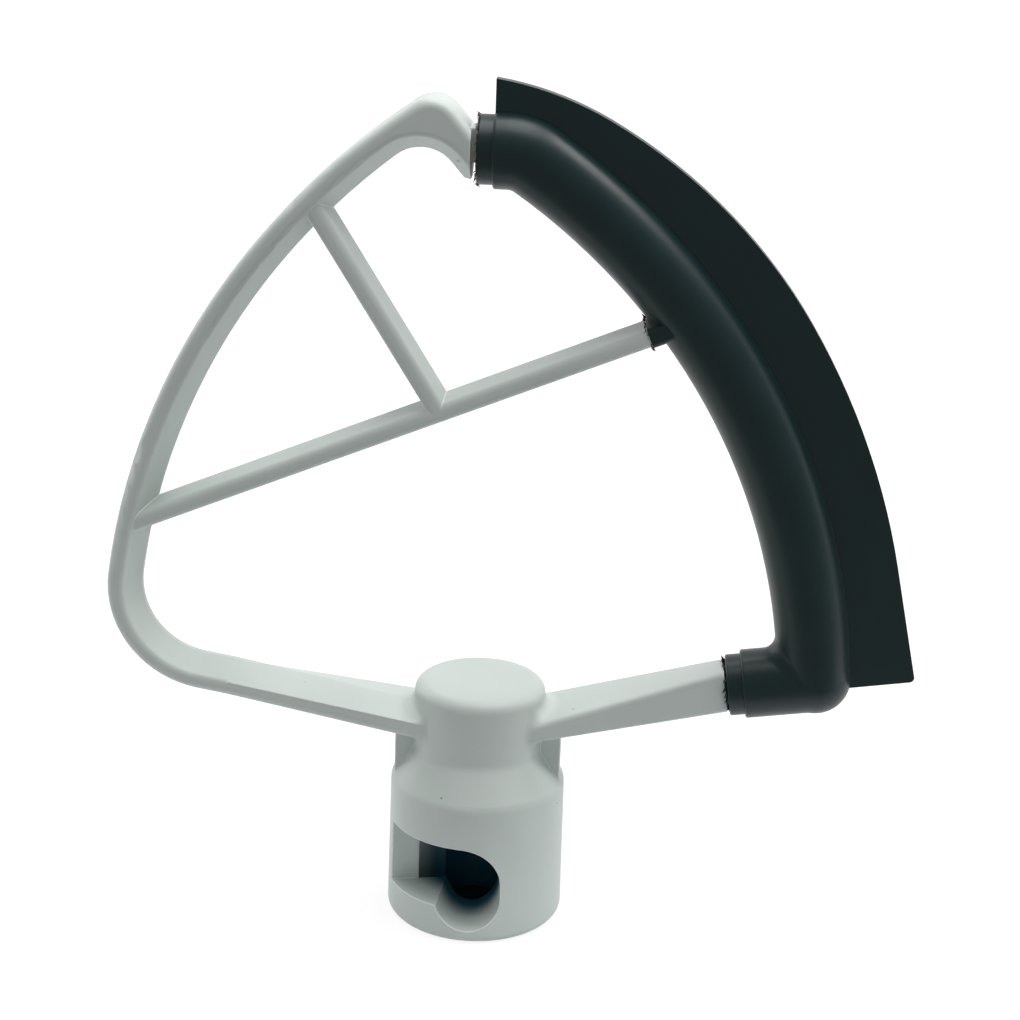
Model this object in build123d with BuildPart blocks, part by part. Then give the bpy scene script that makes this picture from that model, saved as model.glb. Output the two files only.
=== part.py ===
from build123d import *
import os
from math import atan2, cos, degrees, radians, sin, sqrt

# Flat beater with a flexible scraper edge for a tilt-head stand mixer, standing on its hub.
# The origin is the centre of the hub's open end. +Z runs up the hub axis to the nose,
# +X points to the flexible edge, and the flat of the beater lies in the XZ plane.
# Sizes are in millimetres and angles in degrees. Points of the flat are written as (X, Z).

# Hub
hub_radius = 18.0
hub_shoulder_radius = 17.75
hub_barrel_height = 29.5
hub_cone_height = 7.0
hub_height = 50.4
neck_radius = 13.25
hub_rim_round = 1.8
hub_shoulder_round = 3.0
hub_cap_round = 2.3

# Shaft bore, and the keyway that the shaft's pin slides up
bore_diameter = 13.0
bore_depth = 38.0
keyway_width = 6.0
keyway_reach = 12.1
keyway_turn = 12.0

# Bayonet slot: a level channel from the keyway to a round pocket at the front
slot_roof = 20.9
slot_floor = 7.6
slot_pocket_radius = 6.8
slot_pocket_offset = -0.4
slot_pocket_height = 9.6
slot_corner_radius = 8.3
slot_pocket_back = 2.6
slot_draft = 5.0

# Gussets under the two lower arms
gusset_thickness = 7.0
gusset_setback = 1.0

# Rail on the side away from the flexible edge
rail_radius = 139.5
rail_width = 6.2
rail_depth = 12.0
rail_slope = 3.0
rail_land = 1.0
rail_round = 1.8
rail_inner_round = 1.2
rail_corner_radius = 21.1
rail_corner_angle = 171.7

# Nose where the rail turns over to the flexible edge
nose_end_x = -4.6
nose_fall = 49.0
nose_peak_radius = 5.6
nose_peak_setback = 7.4
nose_peak_height = 161.45
nose_peak_angle = 124.27
nose_arch_radius = 7.6
nose_arch_setback = 9.5
nose_tip_cut = 1.6

# Lower arms
arm_root_depth = 19.3
arm_blend = 2.2
left_arm_fall = 9.0
left_arm_run = 6.0
left_arm_root_thickness = 4.0
left_arm_root_ridge = 0.3
right_arm_root_height = 39.6
right_arm_root_thickness = 2.4
right_arm_end_thickness = 8.7
right_arm_end_depth = 8.4
right_arm_round = 1.1

# Crossbar and diagonal bar
bar_front_width = 3.0
bar_middle_width = 5.3
bar_depth = 11.0
bar_round = 1.4
crossbar_height = 111.0
crossbar_rise = 23.0
diagonal_foot_x = -9.4
diagonal_lean = 122.4

# Sleeve of the flexible edge
sleeve_path_radius = 131.95
sleeve_diameter = 14.6
sleeve_top_height = 157.36
sleeve_bend_radius = 10.0
elbow_x = 66.63
elbow_height = 54.75
elbow_angle = 4.02
elbow_radius = 7.15
elbow_reach = 0.3
elbow_blend = 3.0
run_rise = 8.7
run_length = 14.15
run_diameter = 13.8
lip_step = 0.75
lip_length = 3.05
lip_round = 0.5
nose_gap = 1.0
arm_gap = 0.4

# Slim bar of the casting inside the sleeve
core_height = 6.4
core_depth = 7.0
core_offset = 1.2
core_seat = 2.5

# Collar round the crossbar
collar_wall = 0.3
collar_length = 1.6

# Scraper fin
fin_edge_radius = 150.0
fin_straight_angle = 13.0
fin_flare_angle = 33.0
fin_shoulder_angle = 54.0
fin_shoulder_inset = 3.8
fin_top_rise = 6.0
fin_top_setback = 0.1
fin_foot_drop = 2.3
fin_foot_rise = 9.1
fin_corner_round = 1.0
fin_thickness = 3.0


def along(point, length, angle):
    """Point of the flat at a distance from another, in a direction measured from +X towards +Z."""
    return (point[0] + length * cos(radians(angle)), point[1] + length * sin(radians(angle)))


def distance(start, end):
    """Distance between two points of the flat."""
    return sqrt((end[0] - start[0]) ** 2 + (end[1] - start[1]) ** 2)


def angle_from(centre, point):
    """Direction from a centre to a point of the flat."""
    return degrees(atan2(point[1] - centre[1], point[0] - centre[0]))


def top_of_circle(centre, radius, x):
    """Upper point of a circle at a given X."""
    return (x, centre[1] + sqrt(radius**2 - (x - centre[0]) ** 2))


def side_of_circle(centre, radius, z):
    """Right-hand point of a circle at a given Z."""
    return (centre[0] + sqrt(radius**2 - (z - centre[1]) ** 2), z)


def ray_to_circle(point, angle, centre, radius):
    """Where a ray that starts inside a circle leaves it."""
    ahead = (centre[0] - point[0]) * cos(radians(angle)) + (centre[1] - point[1]) * sin(radians(angle))
    aside = distance(point, centre) ** 2 - ahead**2
    return along(point, ahead + sqrt(radius**2 - aside), angle)


def ray_to_line(point, angle, on_line, line_angle):
    """Where a ray meets a straight line."""
    dx, dz = on_line[0] - point[0], on_line[1] - point[1]
    cross = dx * sin(radians(line_angle)) - dz * cos(radians(line_angle))
    return along(point, cross / sin(radians(line_angle - angle)), angle)


def plane_across(point, angle):
    """Plane square to a direction of the flat, with its local X to the left of that direction."""
    turn = radians(angle)
    return Plane(
        origin=(point[0], 0, point[1]),
        x_dir=(-sin(turn), 0, cos(turn)),
        z_dir=(cos(turn), 0, sin(turn)),
    )


def crosses_wall(edge, radius):
    """Whether an edge lies on the round wall of this radius about the hub axis, across its rings and lines."""
    points = [edge @ share for share in (0.1, 0.5, 0.9)]
    on_wall = all(abs(sqrt(point.X**2 + point.Y**2) - radius) < 0.01 for point in points)
    return on_wall and edge.geom_type not in (GeomType.CIRCLE, GeomType.LINE)


def arm_section(plane, depth, flank, ridge):
    """Flat bar section, round along its outer edges and sloped to a ridge on its inner side."""
    with BuildSketch(plane) as section:
        with BuildLine():
            Polyline(
                (0, -depth / 2),
                (0, depth / 2),
                (flank, depth / 2),
                (flank + ridge, rail_land / 2),
                (flank + ridge, -rail_land / 2),
                (flank, -depth / 2),
                close=True,
            )
        make_face()
        fillet(section.vertices().group_by(Axis.X)[0], radius=rail_round)
    return section.sketch


def bar_section(plane, wall):
    """Six-sided bar section, widest at the mid-plane, with an equal wall added all round."""
    with BuildSketch(plane) as section:
        with BuildLine():
            Polyline(
                (bar_front_width / 2 + wall, -bar_depth / 2 - wall),
                (bar_middle_width / 2 + wall, 0),
                (bar_front_width / 2 + wall, bar_depth / 2 + wall),
                (-bar_front_width / 2 - wall, bar_depth / 2 + wall),
                (-bar_middle_width / 2 - wall, 0),
                (-bar_front_width / 2 - wall, -bar_depth / 2 - wall),
                close=True,
            )
        make_face()
        fillet(section.vertices(), radius=bar_round)
    return section.sketch


# Path of the flexible edge: level over the top bend, down the bowl side, and back from the elbow
elbow = (elbow_x, elbow_height)
sleeve_centre = along(elbow, -sleeve_path_radius, elbow_angle)
bend_height = sleeve_top_height - sleeve_bend_radius
bend_centre = side_of_circle(sleeve_centre, sleeve_path_radius - sleeve_bend_radius, bend_height)
bend_angle = angle_from(sleeve_centre, bend_centre)
upper_lip_end = (nose_end_x + nose_gap, sleeve_top_height)
tube_end = along(upper_lip_end, lip_length, 0)
run_end = along(elbow, -run_length, run_rise)
lower_lip_end = along(run_end, -lip_length, run_rise)
right_arm_end = along(lower_lip_end, -arm_gap, run_rise)

# Outline of the rail and the nose
peak_centre = (nose_end_x - nose_peak_setback, nose_peak_height)
rail_centre = along(peak_centre, nose_peak_radius - rail_radius, nose_peak_angle)
rail_inner_radius = rail_radius - rail_width
corner_centre = along(rail_centre, rail_radius - rail_corner_radius, rail_corner_angle)
corner_inner_radius = rail_corner_radius - rail_width
corner_end_angle = 270 - left_arm_fall
corner_sweep = corner_end_angle - rail_corner_angle
corner_outer_end = along(corner_centre, rail_corner_radius, corner_end_angle)
corner_inner_end = along(corner_centre, corner_inner_radius, corner_end_angle)
joint_outer = along(corner_outer_end, left_arm_run, -left_arm_fall)
joint_inner = along(corner_inner_end, left_arm_run, -left_arm_fall)
arch_centre = top_of_circle(rail_centre, rail_inner_radius - nose_arch_radius, nose_end_x - nose_arch_setback)
arch_angle = angle_from(rail_centre, arch_centre)
nose_turn = 90 - nose_fall
peak_end = along(peak_centre, nose_peak_radius, nose_turn)
arch_end = along(arch_centre, nose_arch_radius, nose_turn)
nose_top = ray_to_line(peak_end, -nose_fall, (nose_end_x, 0), 90)
nose_tip = ray_to_line(arch_end, -nose_fall, (nose_end_x, 0), 90)

# Ends of the two bars
crossbar_origin = (0, crossbar_height)
rail_middle_radius = rail_radius - rail_width / 2
crossbar_left = ray_to_circle(crossbar_origin, crossbar_rise + 180, rail_centre, rail_middle_radius)
crossbar_right = ray_to_circle(crossbar_origin, crossbar_rise, sleeve_centre, sleeve_path_radius)
diagonal_foot = along(crossbar_origin, diagonal_foot_x / cos(radians(crossbar_rise)), crossbar_rise)
diagonal_top = ray_to_circle(diagonal_foot, diagonal_lean, rail_centre, rail_middle_radius)

# Rail and nose: one flat bar that is cast with a sloped inner side
with BuildPart() as rail:
    with BuildSketch(Plane.XZ):
        with BuildLine():
            CenterArc(peak_centre, nose_peak_radius, nose_turn, nose_peak_angle - nose_turn)
            CenterArc(rail_centre, rail_radius, nose_peak_angle, rail_corner_angle - nose_peak_angle)
            CenterArc(corner_centre, rail_corner_radius, rail_corner_angle, corner_sweep)
            Polyline(corner_outer_end, joint_outer, joint_inner, corner_inner_end)
            CenterArc(corner_centre, corner_inner_radius, corner_end_angle, -corner_sweep)
            CenterArc(rail_centre, rail_inner_radius, rail_corner_angle, arch_angle - rail_corner_angle)
            CenterArc(arch_centre, nose_arch_radius, arch_angle, nose_turn - arch_angle)
            Polyline(arch_end, nose_tip, nose_top, peak_end)
        make_face()
    extrude(amount=rail_depth / 2, both=True)
    bowl_edges = rail.edges().filter_by(GeomType.CIRCLE).filter_by(lambda edge: edge.radius == rail_radius)
    fillet(bowl_edges, radius=rail_round)

    # The inner side slopes from a narrow land at the mid-plane to the front and the back
    with BuildLine(Plane.XZ) as inner_edge:
        slope_start = along(joint_inner, rail_width, -left_arm_fall)
        Line(slope_start, corner_inner_end)
        CenterArc(corner_centre, corner_inner_radius, corner_end_angle, -corner_sweep)
        CenterArc(rail_centre, rail_inner_radius, rail_corner_angle, arch_angle - rail_corner_angle)
        CenterArc(arch_centre, nose_arch_radius, arch_angle, nose_turn - arch_angle)
        Line(arch_end, along(nose_tip, rail_width, -nose_fall))
    with BuildSketch(plane_across(slope_start, 180 - left_arm_fall)):
        for side in (-1, 1):
            with BuildLine():
                Polyline(
                    (0, side * rail_land / 2),
                    (0, side * rail_depth / 2),
                    (rail_slope, side * rail_depth / 2),
                    close=True,
                )
            make_face()
    sweep(path=inner_edge.line, mode=Mode.SUBTRACT)

    slope_radius = rail_inner_radius + rail_slope
    slope_edges = rail.edges().filter_by(GeomType.CIRCLE).filter_by(
        lambda edge: abs(edge.radius - slope_radius) < rail_land / 2
    )
    fillet(slope_edges, radius=rail_inner_round)

    # The tip under the nose is cut off level
    with BuildSketch(Plane.XZ):
        with Locations(nose_tip):
            Rectangle(4 * nose_tip_cut, 2 * nose_tip_cut)
    extrude(amount=rail_depth, both=True, mode=Mode.SUBTRACT)

# The casting
with BuildPart() as beater_frame:
    # Hub: barrel, cone, neck and cap
    with BuildSketch(Plane.XZ):
        with BuildLine():
            FilletPolyline(
                (0, 0),
                (hub_radius, 0),
                (hub_shoulder_radius, hub_barrel_height),
                (neck_radius, hub_barrel_height + hub_cone_height),
                (neck_radius, hub_height),
                (0, hub_height),
                radius=[hub_rim_round, hub_shoulder_round, hub_shoulder_round, hub_cap_round],
            )
            Line((0, hub_height), (0, 0))
        make_face()
    revolve(axis=Axis.Z)

    # Left arm, from the hub axis out to the rail
    left_root = along(joint_outer, joint_outer[0] / -cos(radians(left_arm_fall)), -left_arm_fall)
    left_arm_inner = arm_section(
        plane_across(left_root, -left_arm_fall), arm_root_depth, left_arm_root_thickness, left_arm_root_ridge
    )
    left_arm_outer = arm_section(
        plane_across(joint_outer, -left_arm_fall), rail_depth, rail_width - rail_slope, rail_slope
    )
    loft(sections=[left_arm_inner, left_arm_outer], ruled=True)

    # Right arm, from the hub axis out to the lip of the flexible edge
    right_root = (0, right_arm_root_height)
    with BuildSketch(plane_across(right_root, run_rise)):
        RectangleRounded(right_arm_root_thickness, arm_root_depth, right_arm_round)
    with BuildSketch(plane_across(right_arm_end, run_rise)):
        RectangleRounded(right_arm_end_thickness, right_arm_end_depth, right_arm_round)
    loft(ruled=True)

    # Gussets that stand on the barrel and carry the arms
    gusset_reach = hub_shoulder_radius - gusset_setback
    gusset_foot = hub_barrel_height - hub_shoulder_round
    with BuildSketch(Plane.XZ):
        with BuildLine():
            left_middle = along(left_root, left_arm_root_thickness / 2, 90 - left_arm_fall)
            Polyline(
                (-gusset_reach, gusset_foot),
                (gusset_reach, gusset_foot),
                ray_to_line(right_root, angle_from(right_root, right_arm_end), (gusset_reach, 0), 90),
                right_root,
                ray_to_line(left_middle, 180 - left_arm_fall, (-gusset_reach, 0), 90),
                close=True,
            )
        make_face()
    extrude(amount=gusset_thickness / 2, both=True)

    # The arms run into the neck with a blend
    fillet(beater_frame.edges().filter_by(lambda edge: crosses_wall(edge, neck_radius)), radius=arm_blend)

    add(rail.part)

    # Crossbar and diagonal bar
    crossbar = bar_section(plane_across(crossbar_left, crossbar_rise), 0)
    extrude(crossbar, amount=distance(crossbar_left, crossbar_right))
    diagonal = bar_section(plane_across(diagonal_foot, diagonal_lean), 0)
    extrude(diagonal, amount=distance(diagonal_foot, diagonal_top))

    # Slim bar that carries the flexible edge, from the nose round to the right arm
    core_radius = sleeve_path_radius + core_offset
    core_elbow = ray_to_circle(elbow, run_rise, sleeve_centre, core_radius)
    core_start = (nose_end_x - core_seat, sleeve_top_height + core_offset)
    with BuildLine(Plane.XZ) as core_path:
        Line(core_start, (bend_centre[0], core_start[1]))
        CenterArc(bend_centre, sleeve_bend_radius + core_offset, 90, bend_angle - 90)
        core_sweep = angle_from(sleeve_centre, core_elbow) - bend_angle
        CenterArc(sleeve_centre, core_radius, bend_angle, core_sweep)
    with BuildSketch(plane_across(core_start, 0)):
        Rectangle(core_height, core_depth)
    sweep(path=core_path.line)
    core_foot = along(core_elbow, core_height / 2, run_rise)
    with BuildSketch(plane_across(core_foot, run_rise + 180)):
        Rectangle(core_height, core_depth)
    extrude(amount=distance(core_foot, right_arm_end) + core_seat)

    # Blind bore, and the keyway beside it
    with BuildSketch(Plane.XY):
        Circle(bore_diameter / 2)
    extrude(amount=bore_depth, mode=Mode.SUBTRACT)
    turn = radians(keyway_turn)
    with BuildSketch(Plane(origin=(0, 0, 0), x_dir=(cos(turn), sin(turn), 0), z_dir=(0, 0, 1))):
        with Locations((-keyway_reach / 2, 0)):
            Rectangle(keyway_reach, keyway_width)
    extrude(amount=slot_roof, mode=Mode.SUBTRACT)

    # Channel of the bayonet slot, whose wall lines up with the side of the keyway
    wall_normal = (sin(turn), -cos(turn), 0)
    wall_origin = (keyway_width / 2 * sin(turn), -keyway_width / 2 * cos(turn), 0)
    with BuildSketch(Plane(origin=wall_origin, x_dir=(cos(turn), sin(turn), 0), z_dir=wall_normal)):
        with BuildLine():
            channel_left = -2 * hub_radius
            channel_right = -bore_diameter / 2
            Polyline(
                (channel_left, slot_floor),
                (channel_right, slot_floor),
                (channel_right, slot_roof),
                (channel_left, slot_roof),
                close=True,
            )
        make_face()
    extrude(amount=2 * hub_radius, mode=Mode.SUBTRACT)

    # Pocket that the pin drops into, with draft for the side core
    with BuildSketch(Plane.XZ.offset(hub_radius)) as pocket:
        with BuildLine():
            pocket_centre = (slot_pocket_offset, slot_pocket_height)
            lower_half = CenterArc(pocket_centre, slot_pocket_radius, 180, 180)
            Polyline(
                lower_half @ 1,
                (slot_pocket_offset + slot_pocket_radius, slot_roof),
                (slot_pocket_offset - slot_pocket_radius, slot_roof),
                lower_half @ 0,
            )
        make_face()
        fillet(pocket.vertices().group_by(Axis.Y)[-1].sort_by(Axis.X)[-1], radius=slot_corner_radius)
    extrude(amount=slot_pocket_back - hub_radius, taper=slot_draft, mode=Mode.SUBTRACT)

# Silicone moulded over the slim bar
with BuildPart() as flex_edge:
    # Round sleeve with a ball at the elbow
    with BuildLine(Plane.XZ) as sleeve_path:
        Line(tube_end, (bend_centre[0], sleeve_top_height))
        CenterArc(bend_centre, sleeve_bend_radius, 90, bend_angle - 90)
        CenterArc(sleeve_centre, sleeve_path_radius, bend_angle, elbow_angle - bend_angle)
    with BuildSketch(plane_across(tube_end, 0)):
        Circle(sleeve_diameter / 2)
    sweep(path=sleeve_path.line)
    with BuildSketch(plane_across(run_end, run_rise)):
        Circle(run_diameter / 2)
    extrude(amount=run_length)
    ball = along(elbow, elbow_reach, run_rise)
    with Locations((ball[0], 0, ball[1])):
        Sphere(elbow_radius)
    fillet(flex_edge.edges().filter_by(GeomType.BSPLINE), radius=elbow_blend)

    # Stepped lips at both ends
    with BuildSketch(plane_across(tube_end, 180)):
        Circle(sleeve_diameter / 2 - lip_step)
    extrude(amount=lip_length)
    with BuildSketch(plane_across(run_end, run_rise + 180)):
        Circle(run_diameter / 2 - lip_step)
    extrude(amount=lip_length)
    for end in (tube_end, upper_lip_end, run_end, lower_lip_end):
        rings = flex_edge.edges().filter_by(GeomType.CIRCLE).filter_by(
            lambda edge: distance((edge.arc_center.X, edge.arc_center.Z), end) < lip_round
        )
        fillet(rings.sort_by(SortBy.RADIUS)[-1], radius=lip_round)

    # Collar round the end of the crossbar
    collar_reach = sleeve_diameter / 2 + collar_length
    collar = bar_section(plane_across(along(crossbar_right, -collar_reach, crossbar_rise), crossbar_rise), collar_wall)
    extrude(collar, amount=collar_reach)

    # Scraper fin: straight at the foot, round along the bowl and flared at the top
    fin_top = (tube_end[0] + fin_top_setback, sleeve_top_height + sleeve_diameter / 2 + fin_top_rise)
    fin_foot_inner = along(elbow, -fin_foot_drop, 90 + fin_foot_rise)
    straight_end = along(sleeve_centre, fin_edge_radius, fin_straight_angle)
    fin_foot_outer = ray_to_line(fin_foot_inner, fin_foot_rise, straight_end, 90 + fin_straight_angle)
    with BuildSketch(Plane.XZ):
        with BuildLine():
            Polyline(fin_top, (fin_top[0], sleeve_top_height), (bend_centre[0], sleeve_top_height))
            CenterArc(bend_centre, sleeve_bend_radius, 90, bend_angle - 90)
            CenterArc(sleeve_centre, sleeve_path_radius, bend_angle, elbow_angle - bend_angle)
            FilletPolyline(elbow, fin_foot_inner, fin_foot_outer, straight_end, radius=[0, fin_corner_round])
            edge_sweep = fin_flare_angle - fin_straight_angle
            edge = CenterArc(sleeve_centre, fin_edge_radius, fin_straight_angle, edge_sweep)
            fin_shoulder = along(sleeve_centre, fin_edge_radius - fin_shoulder_inset, fin_shoulder_angle)
            flare = TangentArc(edge @ 1, fin_shoulder, tangent=edge % 1)
            TangentArc(fin_shoulder, fin_top, tangent=flare % 1)
        make_face()
    extrude(amount=fin_thickness / 2, both=True)

    add(beater_frame.part, mode=Mode.SUBTRACT)

os.makedirs("parts", exist_ok=True)
beater_frame.part.label = "beater_frame"
export_step(beater_frame.part, "parts/beater_frame.step")
flex_edge.part.label = "flex_edge"
export_step(flex_edge.part, "parts/flex_edge.step")
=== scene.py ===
# %% [markdown]
# # Flat beater with a flexible scraper edge
# The object is one spare part of a stand mixer: a coated aluminium casting with a dark silicone edge
# moulded along one side. Its solids come from the CAD model, so the bore, the slot and the fillets are exact.
# This lesson dresses them with two finishes, adds torn flash at the joints and builds a small photo studio.
# Everything is in metres and in the CAD frame: +Z up the hub axis, +X towards the flexible edge.

# %% Load the CAD model
import math

import bpy
from mathutils import Matrix, Vector


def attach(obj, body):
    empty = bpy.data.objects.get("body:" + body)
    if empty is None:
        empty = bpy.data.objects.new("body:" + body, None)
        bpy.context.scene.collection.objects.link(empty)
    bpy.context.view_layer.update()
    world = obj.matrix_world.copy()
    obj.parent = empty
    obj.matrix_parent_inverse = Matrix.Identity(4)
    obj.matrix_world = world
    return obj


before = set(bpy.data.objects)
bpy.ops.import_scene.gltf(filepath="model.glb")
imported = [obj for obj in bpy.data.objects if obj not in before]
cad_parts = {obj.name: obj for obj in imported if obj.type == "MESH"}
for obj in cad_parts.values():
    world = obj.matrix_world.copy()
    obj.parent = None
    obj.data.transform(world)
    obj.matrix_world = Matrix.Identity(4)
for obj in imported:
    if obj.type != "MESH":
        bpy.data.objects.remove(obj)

MM = 0.001
scene = bpy.context.scene
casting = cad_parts["beater_frame"]
flex_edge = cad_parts["flex_edge"]
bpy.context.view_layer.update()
for cad_node in (casting, flex_edge):
    print(cad_node.name, len(cad_node.data.polygons), "faces")

# %% [markdown]
# ## Camera
# The photograph looks slightly down at the beater with a long lens. A camera can be placed by eye, but round
# outlines say more: the ellipses of the hub give the pitch, the roll and the distance. The values below were
# fitted to them, so the render lines up with the photograph.

# %% Camera
CAMERA_PLACE = Vector((25.5, -396.2, 220.0)) * MM
CAMERA_PITCH = math.radians(18.56)
CAMERA_YAW = math.radians(3.0)
CAMERA_ROLL = math.radians(2.01)
FOCAL_PIXELS = 2127.0
IMAGE_PIXELS = 1020.0
SENSOR_MM = 36.0
NEAREST = 0.01

camera_data = bpy.data.cameras.new("studio_camera")
camera_data.sensor_width = SENSOR_MM
camera_data.lens = SENSOR_MM * FOCAL_PIXELS / IMAGE_PIXELS
camera_data.clip_start = NEAREST
camera = bpy.data.objects.new("studio_camera", camera_data)
scene.collection.objects.link(camera)
look_right = Vector((math.cos(CAMERA_YAW), math.sin(CAMERA_YAW), 0))
look_ahead = Vector((
    -math.sin(CAMERA_YAW) * math.cos(CAMERA_PITCH),
    math.cos(CAMERA_YAW) * math.cos(CAMERA_PITCH),
    -math.sin(CAMERA_PITCH),
))
look_up = look_right.cross(look_ahead)
tilted_right = look_right * math.cos(CAMERA_ROLL) + look_up * math.sin(CAMERA_ROLL)
tilted_up = look_up * math.cos(CAMERA_ROLL) - look_right * math.sin(CAMERA_ROLL)
turn = Matrix((tilted_right, tilted_up, -look_ahead)).transposed()
camera.matrix_world = Matrix.Translation(CAMERA_PLACE) @ turn.to_4x4()
scene.camera = camera
print("camera lens", round(camera_data.lens, 2), "mm")

# %% [markdown]
# ## Helpers for the finishes
# Colours are written as they look on a screen, so one function turns a hex value to the linear numbers
# that a shader works with. Another adds a node, sets it and links it in one call, for shaders and for
# Geometry Nodes alike. Patterns are sized in millimetres, and a texture's scale is one over that size.

# %% Helpers for the finishes


def linear(hex_colour):
    """Linear red, green, blue and alpha of an sRGB hex colour."""
    channels = [int(hex_colour[i:i + 2], 16) / 255 for i in (1, 3, 5)]
    curve = [c / 12.92 if c <= 0.04045 else ((c + 0.055) / 1.055) ** 2.4 for c in channels]
    return (*curve, 1.0)


def add_node(tree, kind, links=None, inputs=None, **settings):
    """Adds a node to a tree with its settings, its constant inputs, and the sockets that feed it."""
    node = tree.nodes.new(kind)
    for name, value in settings.items():
        setattr(node, name, value)
    for key, value in (inputs or {}).items():
        node.inputs[key].default_value = value
    for key, source in (links or {}).items():
        tree.links.new(source, node.inputs[key])
    return node


def new_finish(name):
    """A new material, its empty tree, its Object coordinates and its Principled shader."""
    finish = bpy.data.materials.new(name)
    finish.use_nodes = True
    tree = finish.node_tree
    tree.nodes.clear()
    place = add_node(tree, "ShaderNodeTexCoord").outputs["Object"]
    shader = add_node(tree, "ShaderNodeBsdfPrincipled")
    add_node(tree, "ShaderNodeOutputMaterial", links={"Surface": shader.outputs["BSDF"]})
    return finish, tree, place, shader


def per_metre(size_mm):
    """Texture scale that gives a pattern of this size in millimetres."""
    return 1.0 / (size_mm * MM)


print("a pattern of 1 mm has a scale of", round(per_metre(1)))

# %% [markdown]
# ## Coated casting
# The frame is die-cast aluminium under a sprayed and baked pale grey coat. Such a coat is a smooth dielectric
# with a faint orange peel, a little uneven in tone. The edges that the coat fills could be modelled, but a
# Bevel node rounds their shading at no cost in triangles. Noise gives the orange peel and the tone.

# %% Coated casting
PEEL_SIZE = 1.6
PEEL_DEPTH = 0.05 * MM
PEEL_STRENGTH = 0.12
FILLED_EDGE = 0.45 * MM
COAT_PATCH = 22
COAT_TONES = (("#C8D1CD", 0.3), ("#D0D8D4", 0.7))
COAT_ROUGHNESS = 0.42
COAT_IOR = 1.5

coat, tree, place, shader = new_finish("baked_coat_on_cast_aluminium")
peel = add_node(
    tree, "ShaderNodeTexNoise",
    links={"Vector": place},
    inputs={"Scale": per_metre(PEEL_SIZE), "Detail": 2.0},
)
rounded = add_node(tree, "ShaderNodeBevel", samples=8, inputs={"Radius": FILLED_EDGE})
bump = add_node(
    tree, "ShaderNodeBump",
    links={"Height": peel.outputs["Fac"], "Normal": rounded.outputs["Normal"]},
    inputs={"Strength": PEEL_STRENGTH, "Distance": PEEL_DEPTH},
)
patches = add_node(
    tree, "ShaderNodeTexNoise",
    links={"Vector": place},
    inputs={"Scale": per_metre(COAT_PATCH), "Detail": 3.0},
)
shade = add_node(tree, "ShaderNodeValToRGB", links={"Fac": patches.outputs["Fac"]})
for stop, (tone, position) in zip(shade.color_ramp.elements, COAT_TONES):
    stop.color = linear(tone)
    stop.position = position
tree.links.new(bump.outputs["Normal"], shader.inputs["Normal"])
shader.inputs["Roughness"].default_value = COAT_ROUGHNESS
shader.inputs["IOR"].default_value = COAT_IOR
print("finish", coat.name)

# %% [markdown]
# ## Painted edge highlights and pinholes
# Each edge of the slot and the ends shows as a thin pale line: a painted highlight, the light that a rounded
# edge would catch, mixed into the coat's colour. The line could be drawn in a texture, but the Bevel node
# finds it: where its rounded normal leaves the plain one, an edge is near. A few pinholes are left where gas
# escaped from the casting. They are drawn at the centres of rare Voronoi cells.

# %% Painted edge highlights
EDGE_HIGHLIGHT_TONE = linear("#FFFFFF")
EDGE_STARTS = 0.985
EDGE_IS_FULL = 0.90

plain = add_node(tree, "ShaderNodeNewGeometry")
turned = add_node(
    tree, "ShaderNodeVectorMath", operation="DOT_PRODUCT",
    links={0: plain.outputs["Normal"], 1: rounded.outputs["Normal"]},
)
edge = add_node(
    tree, "ShaderNodeMapRange",
    links={"Value": turned.outputs["Value"]},
    inputs={"From Min": EDGE_STARTS, "From Max": EDGE_IS_FULL, "To Min": 0.0, "To Max": 1.0},
)
# Painted highlight: near each edge the coat's colour is mixed towards white.
highlighted = add_node(
    tree, "ShaderNodeMix", data_type="RGBA",
    links={"Factor": edge.outputs["Result"], "A": shade.outputs["Color"]},
)
highlighted.inputs["B"].default_value = EDGE_HIGHLIGHT_TONE
print("worn where the normal turns", round(math.degrees(math.acos(EDGE_STARTS))), "degrees or more")

# %% Pinholes
PIT_TONE = linear("#8A9392")
PIT_SPACING = 9.0
PIT_RADIUS = 0.22

cells = add_node(
    tree, "ShaderNodeTexVoronoi",
    links={"Vector": place},
    inputs={"Scale": per_metre(PIT_SPACING), "Randomness": 1.0},
)
near = add_node(
    tree, "ShaderNodeMath", operation="LESS_THAN",
    links={0: cells.outputs["Distance"]},
    inputs={1: PIT_RADIUS / PIT_SPACING},
)
pitted = add_node(
    tree, "ShaderNodeMix", data_type="RGBA",
    links={"Factor": near.outputs["Value"], "A": highlighted.outputs["Result"]},
)
pitted.inputs["B"].default_value = PIT_TONE
print("pinholes of", PIT_RADIUS, "mm, about", PIT_SPACING, "mm apart inside the metal")

# %% [markdown]
# ## Painted shade inside the bore
# Little light reaches the drive bore and its side slot, so they lie in shade, and that shade is painted into
# the coat as a dark blue tone. A second material would end in a hard line, so one mask does it: the coat
# fades into the painted shade towards the hub axis, below the slot's roof and inside the wall of the bore.
# The mask leaves out the flat end of the hub and everything from the cap upwards.

# %% Distance from the hub axis
SHADE_FULL_WITHIN = 8.0 * MM
SHADE_ENDS_AT = 13.8 * MM

split = add_node(tree, "ShaderNodeSeparateXYZ", links={"Vector": place})
flat_place = add_node(
    tree, "ShaderNodeCombineXYZ", links={"X": split.outputs["X"], "Y": split.outputs["Y"]}
)
radius = add_node(tree, "ShaderNodeVectorMath", operation="LENGTH", links={0: flat_place.outputs["Vector"]})
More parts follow.
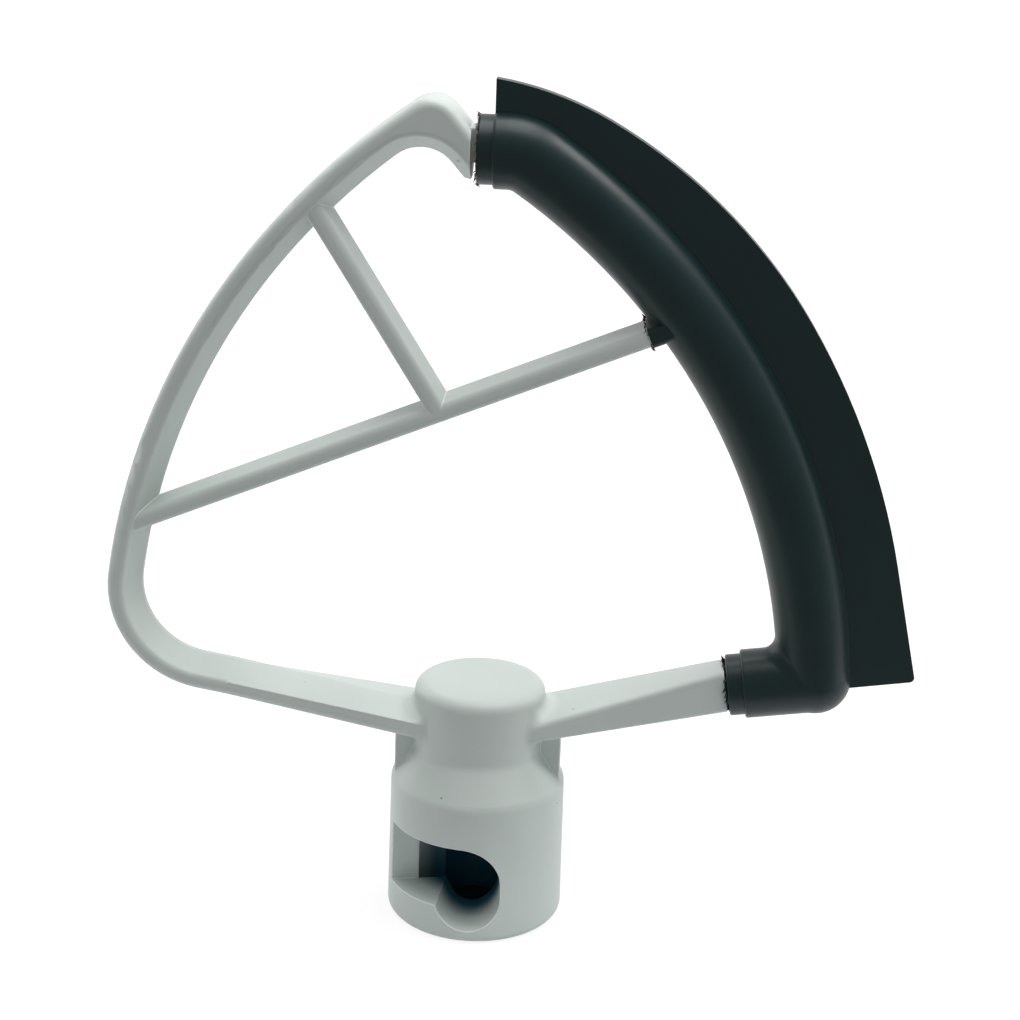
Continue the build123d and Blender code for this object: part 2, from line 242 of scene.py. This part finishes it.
# Painted shade: this mask fades the coat into a dark tone towards the hub axis, where the bore lies in shade.
out_of_bore_shade = add_node(
    tree, "ShaderNodeMapRange", interpolation_type="SMOOTHSTEP",
    links={"Value": radius.outputs["Value"]},
    inputs={"From Min": SHADE_FULL_WITHIN, "From Max": SHADE_ENDS_AT, "To Min": 0.0, "To Max": 1.0},
)
print("coat fades out from", round(SHADE_ENDS_AT / MM, 1), "to", round(SHADE_FULL_WITHIN / MM, 1), "mm off the axis")

# %% Painted shade inside the bore
# Painted shade: the dark blue tone stands in for the shade of the bore and the slot.
BORE_SHADE_TONE = linear("#1E5064")
SLOT_ROOF = 22.0 * MM
BORE_WALL = 7.0 * MM
HUB_END = 0.02 * MM
CAP_FOOT = 45.0 * MM

above = add_node(
    tree, "ShaderNodeMath", operation="GREATER_THAN", links={0: split.outputs["Z"]}, inputs={1: SLOT_ROOF}
)
outside = add_node(
    tree, "ShaderNodeMath", operation="GREATER_THAN",
    links={0: radius.outputs["Value"]},
    inputs={1: BORE_WALL},
)
upper = add_node(
    tree, "ShaderNodeMath", operation="MULTIPLY",
    links={0: above.outputs["Value"], 1: outside.outputs["Value"]},
)
below = add_node(
    tree, "ShaderNodeMath", operation="LESS_THAN", links={0: split.outputs["Z"]}, inputs={1: HUB_END}
)
cap = add_node(
    tree, "ShaderNodeMath", operation="GREATER_THAN", links={0: split.outputs["Z"]}, inputs={1: CAP_FOOT}
)
ends = add_node(
    tree, "ShaderNodeMath", operation="MAXIMUM", links={0: below.outputs["Value"], 1: cap.outputs["Value"]}
)
sides = add_node(
    tree, "ShaderNodeMath", operation="MAXIMUM",
    links={0: out_of_bore_shade.outputs["Result"], 1: upper.outputs["Value"]},
)
# Painted shade: where this mask falls towards nought, the coat gives way to the painted dark tone.
coated = add_node(
    tree, "ShaderNodeMath", operation="MAXIMUM", links={0: ends.outputs["Value"], 1: sides.outputs["Value"]}
)
inside = add_node(
    tree, "ShaderNodeMix", data_type="RGBA",
    links={"Factor": coated.outputs["Value"], "B": pitted.outputs["Result"]},
)
inside.inputs["A"].default_value = BORE_SHADE_TONE
tree.links.new(inside.outputs["Result"], shader.inputs["Base Color"])
casting.data.materials.clear()
casting.data.materials.append(coat)
print("casting coated, with", len(tree.nodes), "nodes")

# %% [markdown]
# ## Silicone
# The flexible edge is black-grey silicone rubber, pressed in a polished mould. It is dark, a little waxy,
# and shows soft highlights along the round sleeve. Fine dust gives it a slightly uneven gloss, and a little
# sheen stands for the dust at grazing angles. The real grain of the skin is too fine to show, so it is drawn
# at almost a millimetre.

# %% Silicone
SKIN_GRAIN = 0.9
SKIN_DEPTH = 0.05 * MM
SKIN_STRENGTH = 0.15
DUST_PATCH = 14
SMOOTHEST = 0.34
ROUGHEST = 0.42
RUBBER_TONES = (("#082325", 0.3), ("#0B282A", 0.75))

silicone, tree, place, shader = new_finish("moulded_silicone_rubber")
skin = add_node(
    tree, "ShaderNodeTexNoise",
    links={"Vector": place},
    inputs={"Scale": per_metre(SKIN_GRAIN), "Detail": 3.0},
)
bump = add_node(
    tree, "ShaderNodeBump",
    links={"Height": skin.outputs["Fac"]},
    inputs={"Strength": SKIN_STRENGTH, "Distance": SKIN_DEPTH},
)
dust = add_node(
    tree, "ShaderNodeTexNoise",
    links={"Vector": place},
    inputs={"Scale": per_metre(DUST_PATCH), "Detail": 4.0},
)
gloss = add_node(
    tree, "ShaderNodeMapRange",
    links={"Value": dust.outputs["Fac"]},
    inputs={"From Min": 0.3, "From Max": 0.7, "To Min": SMOOTHEST, "To Max": ROUGHEST},
)
shade = add_node(tree, "ShaderNodeValToRGB", links={"Fac": dust.outputs["Fac"]})
for stop, (tone, position) in zip(shade.color_ramp.elements, RUBBER_TONES):
    stop.color = linear(tone)
    stop.position = position
tree.links.new(shade.outputs["Color"], shader.inputs["Base Color"])
tree.links.new(gloss.outputs["Result"], shader.inputs["Roughness"])
tree.links.new(bump.outputs["Normal"], shader.inputs["Normal"])
shader.inputs["IOR"].default_value = 1.41
shader.inputs["Sheen Weight"].default_value = 0.08
shader.inputs["Sheen Roughness"].default_value = 0.35
shader.inputs["Sheen Tint"].default_value = linear("#FFF2E0")
flex_edge.data.materials.clear()
flex_edge.data.materials.append(silicone)
print("finish", silicone.name)

# %% [markdown]
# ## Torn flash
# Where the silicone ends on the casting, the mould squeezed out a thin skin, and it was torn off by hand.
# Ragged flakes are left at the two lips and round the end of the crossbar. They could be modelled one by one,
# but they follow a path, so a small Geometry Nodes tree sets flakes along a closed curve, each turned and
# sized at random with a fixed seed. One tree then serves every joint, with its own number and size of flakes.

# %% Inputs of the flash tree
flash_tree = bpy.data.node_groups.new("torn_flash", "GeometryNodeTree")
SOCKETS = (
    ("Path", "NodeSocketGeometry"),
    ("Flakes", "NodeSocketInt"),
    ("Length", "NodeSocketFloat"),
    ("Width", "NodeSocketFloat"),
    ("Seed", "NodeSocketInt"),
    ("Finish", "NodeSocketMaterial"),
)
socket_ids = {}
for name, kind in SOCKETS:
    socket_ids[name] = flash_tree.interface.new_socket(name, in_out="INPUT", socket_type=kind).identifier
flash_tree.interface.new_socket("Flash", in_out="OUTPUT", socket_type="NodeSocketGeometry")
given = add_node(flash_tree, "NodeGroupInput").outputs
print("inputs", ", ".join(socket_ids))

# %% One flake, and its places on the path
FLAKE_SIDES = 5
FLAKE_THINNESS = (1.0, 0.3, 1.0)

points = add_node(
    flash_tree, "GeometryNodeCurveToPoints", mode="COUNT",
    links={"Curve": given["Path"], "Count": given["Flakes"]},
)
flake = add_node(
    flash_tree, "GeometryNodeMeshCone",
    links={"Radius Bottom": given["Width"], "Depth": given["Length"]},
    inputs={"Vertices": FLAKE_SIDES, "Radius Top": 0.0},
)
thin = add_node(
    flash_tree, "GeometryNodeTransform",
    links={"Geometry": flake.outputs["Mesh"]},
    inputs={"Scale": FLAKE_THINNESS},
)
print("a flake is a thin cone with", FLAKE_SIDES, "sides")

# %% Flakes turned and sized at random
LEAN = 0.7
SMALLEST_FLAKE = 0.35

lean = add_node(flash_tree, "FunctionNodeRandomValue", data_type="FLOAT_VECTOR", links={8: given["Seed"]})
lean.inputs[0].default_value = (-LEAN, -LEAN, -LEAN)
lean.inputs[1].default_value = (LEAN, LEAN, LEAN)
heading = add_node(
    flash_tree, "ShaderNodeVectorMath", operation="ADD",
    links={0: points.outputs["Tangent"], 1: lean.outputs[0]},
)
aim = add_node(
    flash_tree, "FunctionNodeAlignRotationToVector", axis="Z", links={"Vector": heading.outputs["Vector"]}
)
flake_size = add_node(flash_tree, "FunctionNodeRandomValue", data_type="FLOAT", links={8: given["Seed"]})
flake_size.inputs[2].default_value = SMALLEST_FLAKE
flake_size.inputs[3].default_value = 1.0
flakes = add_node(
    flash_tree, "GeometryNodeInstanceOnPoints",
    links={
        "Points": points.outputs["Points"],
        "Instance": thin.outputs["Geometry"],
        "Rotation": aim.outputs["Rotation"],
        "Scale": flake_size.outputs[1],
    },
)
solid = add_node(flash_tree, "GeometryNodeRealizeInstances", links={"Geometry": flakes.outputs["Instances"]})
dressed = add_node(
    flash_tree, "GeometryNodeSetMaterial",
    links={"Geometry": solid.outputs["Geometry"], "Material": given["Finish"]},
)
add_node(flash_tree, "NodeGroupOutput", links={"Flash": dressed.outputs["Geometry"]})
print("torn_flash tree with", len(flash_tree.nodes), "nodes")

# %% [markdown]
# ## From the tree to a mesh
# A modifier runs the tree on a guide curve. The result could stay live, but here the evaluated guide
# becomes a plain mesh and the guide is removed. The paths are circles round the two lips
# and the outline of the crossbar, each square to its bar.

# %% From the tree to a mesh


def torn_flash(name, path_points, flakes, length_mm, width_mm, seed, finish):
    """A ring of torn flakes along a closed path in millimetres, as a plain mesh under the root body."""
    curve = bpy.data.curves.new(name, "CURVE")
    curve.dimensions = "3D"
    spline = curve.splines.new("POLY")
    spline.points.add(len(path_points) - 1)
    for point, spot in zip(spline.points, path_points):
        point.co = (*(Vector(spot) * MM), 1.0)
    spline.use_cyclic_u = True
    guide = bpy.data.objects.new(name + "_path", curve)
    scene.collection.objects.link(guide)
    modifier = guide.modifiers.new("torn_flash", "NODES")
    modifier.node_group = flash_tree
    modifier[socket_ids["Flakes"]] = flakes
    modifier[socket_ids["Length"]] = length_mm * MM
    modifier[socket_ids["Width"]] = width_mm * MM
    modifier[socket_ids["Seed"]] = seed
    modifier[socket_ids["Finish"]] = finish
    made = guide.evaluated_get(bpy.context.evaluated_depsgraph_get())
    mesh = bpy.data.meshes.new_from_object(made)
    bpy.data.objects.remove(guide)
    piece = bpy.data.objects.new(name, mesh)
    scene.collection.objects.link(piece)
    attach(piece, "root")
    print(name, len(mesh.polygons), "faces")


# %% Paths round the joints


def in_plane(centre, rise_degrees, side, front):
    """Point off a place of the flat: to the left of a direction in it, and towards the front (-Y)."""
    rise = math.radians(rise_degrees)
    return (centre[0] - side * math.sin(rise), -front, centre[1] + side * math.cos(rise))


def ring(centre, rise_degrees, radius, steps=24):
    """Circle round a direction of the flat, in millimetres."""
    turns = [math.tau * i / steps for i in range(steps)]
    return [in_plane(centre, rise_degrees, radius * math.cos(t), radius * math.sin(t)) for t in turns]


print("a ring is a path of", len(ring((0, 0), 0, 1)), "points")

# %% [markdown]
# ## Torn flash at the joints
# The skin at the upper lip was scorched in the mould, so it is brown and duller than the rubber.
# At the right arm it lies against the casting's end, and at the crossbar it is left round the whole outline.
# Each place is a point in the flat of the beater, in millimetres from the hub axis and from the floor.

# %% Torn flash at the joints
scorched, _, _, shader = new_finish("scorched_silicone_flash")
shader.inputs["Base Color"].default_value = linear("#6B5238")
shader.inputs["Roughness"].default_value = 0.6
NOSE_JOINT = (-3.55, 157.36)
NOSE_LIP_RADIUS = 6.6
ARM_JOINT = (49.43, 52.12)
ARM_RADIUS = 4.8
ARM_RISE = 8.7
BAR_JOINT = (30.1, 123.78)
BAR_OUTLINE = ((1.5, -5.4), (2.75, 0.0), (1.5, 5.4), (-1.5, 5.4), (-2.75, 0.0), (-1.5, -5.4))
BAR_RISE = 23.0

nose_path = ring(NOSE_JOINT, 0, NOSE_LIP_RADIUS)
arm_path = ring(ARM_JOINT, ARM_RISE, ARM_RADIUS)
bar_path = [in_plane(BAR_JOINT, BAR_RISE, side, front) for side, front in BAR_OUTLINE]
torn_flash("flash_at_nose", nose_path, flakes=70, length_mm=1.3, width_mm=0.32, seed=3, finish=scorched)
torn_flash("flash_at_arm", arm_path, flakes=170, length_mm=1.8, width_mm=0.5, seed=5, finish=silicone)
torn_flash("flash_at_crossbar", bar_path, flakes=46, length_mm=1.7, width_mm=0.4, seed=8, finish=silicone)

# %% [markdown]
# ## Paper floor
# The part stands on a white paper sweep. The paper ends just in front of the picture's lower edge, so the
# dark rubber mirrors the dim room there and not more white paper. More lamps could make the paper white, but
# they would burn out the pale coat. Instead it glows to the rays that see it, and a little plain diffuse is
# added so that a shadow shows. Under the hub it doesn't glow, because no light gets there through the bore,
# and there its colour is a painted shade, a dark blue-grey. Seen from below it is clear.

# %% Paper floor
FLOOR_SIZE = 6.0
FLOOR_FRONT = -0.065

floor_mesh = bpy.data.meshes.new("studio_floor")
half = FLOOR_SIZE / 2
floor_mesh.from_pydata(
    [(-half, FLOOR_FRONT, 0), (half, FLOOR_FRONT, 0), (half, half, 0), (-half, half, 0)], [], [(0, 1, 2, 3)]
)
floor = bpy.data.objects.new("studio_floor", floor_mesh)
scene.collection.objects.link(floor)
print("floor", FLOOR_SIZE, "m wide, from y", FLOOR_FRONT, "to", half, "m")

# %% The paper's glow
GLOW_AT_HUB = 0.88
GLOW_STARTS = 0.02
GLOW_IS_FULL = 0.12

paper = bpy.data.materials.new("white_paper_sweep")
paper.use_nodes = True
tree = paper.node_tree
tree.nodes.clear()
shaded = add_node(tree, "ShaderNodeBsdfDiffuse", inputs={"Color": linear("#707070")})
path = add_node(tree, "ShaderNodeLightPath")
direct = add_node(
    tree, "ShaderNodeMath", operation="MAXIMUM",
    links={0: path.outputs["Is Camera Ray"], 1: path.outputs["Is Glossy Ray"]},
)
seen = add_node(
    tree, "ShaderNodeMath", operation="MAXIMUM",
    links={0: direct.outputs["Value"], 1: path.outputs["Is Transmission Ray"]},
)
place = add_node(tree, "ShaderNodeTexCoord").outputs["Object"]
distance = add_node(tree, "ShaderNodeVectorMath", operation="LENGTH", links={0: place})
fade = add_node(
    tree, "ShaderNodeMapRange",
    links={"Value": distance.outputs["Value"]},
    inputs={"From Min": GLOW_STARTS, "From Max": GLOW_IS_FULL, "To Min": GLOW_AT_HUB, "To Max": 1.0},
)
white = add_node(tree, "ShaderNodeEmission", links={"Strength": fade.outputs["Result"]})
bright = add_node(
    tree, "ShaderNodeAddShader", links={0: shaded.outputs["BSDF"], 1: white.outputs["Emission"]}
)
print("paper glows at", GLOW_AT_HUB, "near the hub and at 1.0 farther out")

# %% Painted shade on the paper under the hub, and the paper from below
HUB_INSIDE = 15.0 * MM
PAINTED_SHADE_UNDER_HUB = linear("#1E2E34")
PAPER_TONE = linear("#D6D9DA")

open_floor = add_node(
    tree, "ShaderNodeMath", operation="GREATER_THAN",
    links={0: distance.outputs["Value"]},
    inputs={1: HUB_INSIDE},
)
# Painted shade: near the hub axis the paper's own colour turns dark blue-grey.
paper_or_painted_shade = add_node(tree, "ShaderNodeMix", data_type="RGBA", links={"Factor": open_floor.outputs["Value"]})
paper_or_painted_shade.inputs["A"].default_value = PAINTED_SHADE_UNDER_HUB
paper_or_painted_shade.inputs["B"].default_value = PAPER_TONE
diffuse = add_node(tree, "ShaderNodeBsdfDiffuse", links={"Color": paper_or_painted_shade.outputs["Result"]})
glow = add_node(
    tree, "ShaderNodeMath", operation="MULTIPLY",
    links={0: seen.outputs["Value"], 1: open_floor.outputs["Value"]},
)
mix = add_node(
    tree, "ShaderNodeMixShader",
    links={0: glow.outputs["Value"], 1: diffuse.outputs["BSDF"], 2: bright.outputs["Shader"]},
)
under = add_node(tree, "ShaderNodeNewGeometry").outputs["Backfacing"]
clear = add_node(tree, "ShaderNodeBsdfTransparent").outputs["BSDF"]
one_sided = add_node(tree, "ShaderNodeMixShader", links={0: under, 1: mix.outputs["Shader"], 2: clear})
add_node(tree, "ShaderNodeOutputMaterial", links={"Surface": one_sided.outputs["Shader"]})
floor.data.materials.append(paper)
print("paper dark within", round(HUB_INSIDE / MM, 1), "mm of the hub axis")

# %% [markdown]
# ## Light tent
# A light tent surrounds the part, a little brighter behind it than on the camera's side, so the front faces
# look darker than the upper ones. An image of a studio could light it too, but two levels are enough.
# The camera sees the tent as plain white. Mirrored rays see that white only where they go back past the part,
# where the backdrop hangs, so the glossy rubber keeps its dark front.

# %% Light tent
FRONT_LEVEL = 0.33
BACK_LEVEL = 0.38
TENT_TONE = linear("#FFFFFF")

world = bpy.data.worlds.new("light_tent")
scene.world = world
world.use_nodes = True
tree = world.node_tree
tree.nodes.clear()
direction = add_node(tree, "ShaderNodeTexCoord").outputs["Generated"]
split = add_node(tree, "ShaderNodeSeparateXYZ", links={"Vector": direction})
level = add_node(
    tree, "ShaderNodeMapRange",
    links={"Value": split.outputs["Y"]},
    inputs={"From Min": -1.0, "From Max": 1.0, "To Min": FRONT_LEVEL, "To Max": BACK_LEVEL},
)
tent = add_node(
    tree, "ShaderNodeBackground",
    links={"Strength": level.outputs["Result"]},
    inputs={"Color": TENT_TONE},
)
backdrop = add_node(tree, "ShaderNodeBackground", inputs={"Color": TENT_TONE, "Strength": 1.0})
print("tent at", FRONT_LEVEL, "in front and", BACK_LEVEL, "behind")

# %% Backdrop seen by the camera and in reflections
BACKDROP_STARTS = 0.0
BACKDROP_IS_FULL = 0.3

path = add_node(tree, "ShaderNodeLightPath")
mirrored = add_node(
    tree, "ShaderNodeMath", operation="MAXIMUM",
    links={0: path.outputs["Is Glossy Ray"], 1: path.outputs["Is Transmission Ray"]},
)
behind = add_node(
    tree, "ShaderNodeMapRange",
    links={"Value": split.outputs["Y"]},
    inputs={"From Min": BACKDROP_STARTS, "From Max": BACKDROP_IS_FULL, "To Min": 0.0, "To Max": 1.0},
)
mirrored_behind = add_node(
    tree, "ShaderNodeMath", operation="MULTIPLY",
    links={0: mirrored.outputs["Value"], 1: behind.outputs["Result"]},
)
shown = add_node(
    tree, "ShaderNodeMath", operation="MAXIMUM",
    links={0: path.outputs["Is Camera Ray"], 1: mirrored_behind.outputs["Value"]},
)
mix = add_node(
    tree, "ShaderNodeMixShader",
    links={0: shown.outputs["Value"], 1: tent.outputs["Background"], 2: backdrop.outputs["Background"]},
)
add_node(tree, "ShaderNodeOutputWorld", links={"Surface": mix.outputs["Shader"]})
print("world", world.name, "with", len(tree.nodes), "nodes")

# %% [markdown]
# ## Softboxes
# Large lamps give soft edges to the light. One hangs overhead, one to the upper right draws the highlight
# along the ridge of the sleeve, and a panel on each side lights the flanks from behind. Small lamps close by
# would need less power, but the nose would then be much brighter than the hub, so all stand well away.

# %% Softboxes
CENTRE = (0, 0, 0.09)
SOFTBOXES = (
    ("top_softbox", (0.2, 0.04, 1.91), (1.6, 1.0), 24.8),
    ("right_strip", (1.28, 0.16, 1.63), (1.0, 0.6), 13.6),
    ("left_panel", (-1.8, 0.7, 0.61), (1.6, 1.8), 11.0),
    ("right_panel", (1.8, 0.7, 0.61), (1.2, 1.2), 4.8),
)
for name, lamp_place, (width, height), power in SOFTBOXES:
    data = bpy.data.lights.new(name, "AREA")
    data.shape = "RECTANGLE"
    data.size = width
    data.size_y = height
    data.energy = power
    lamp = bpy.data.objects.new(name, data)
    shine = Vector(CENTRE) - Vector(lamp_place)
    facing = shine.to_track_quat("-Z", "Y").to_matrix().to_4x4()
    lamp.matrix_world = Matrix.Translation(lamp_place) @ facing
    scene.collection.objects.link(lamp)
    print(name, power, "W")
scene.view_settings.view_transform = "Standard"
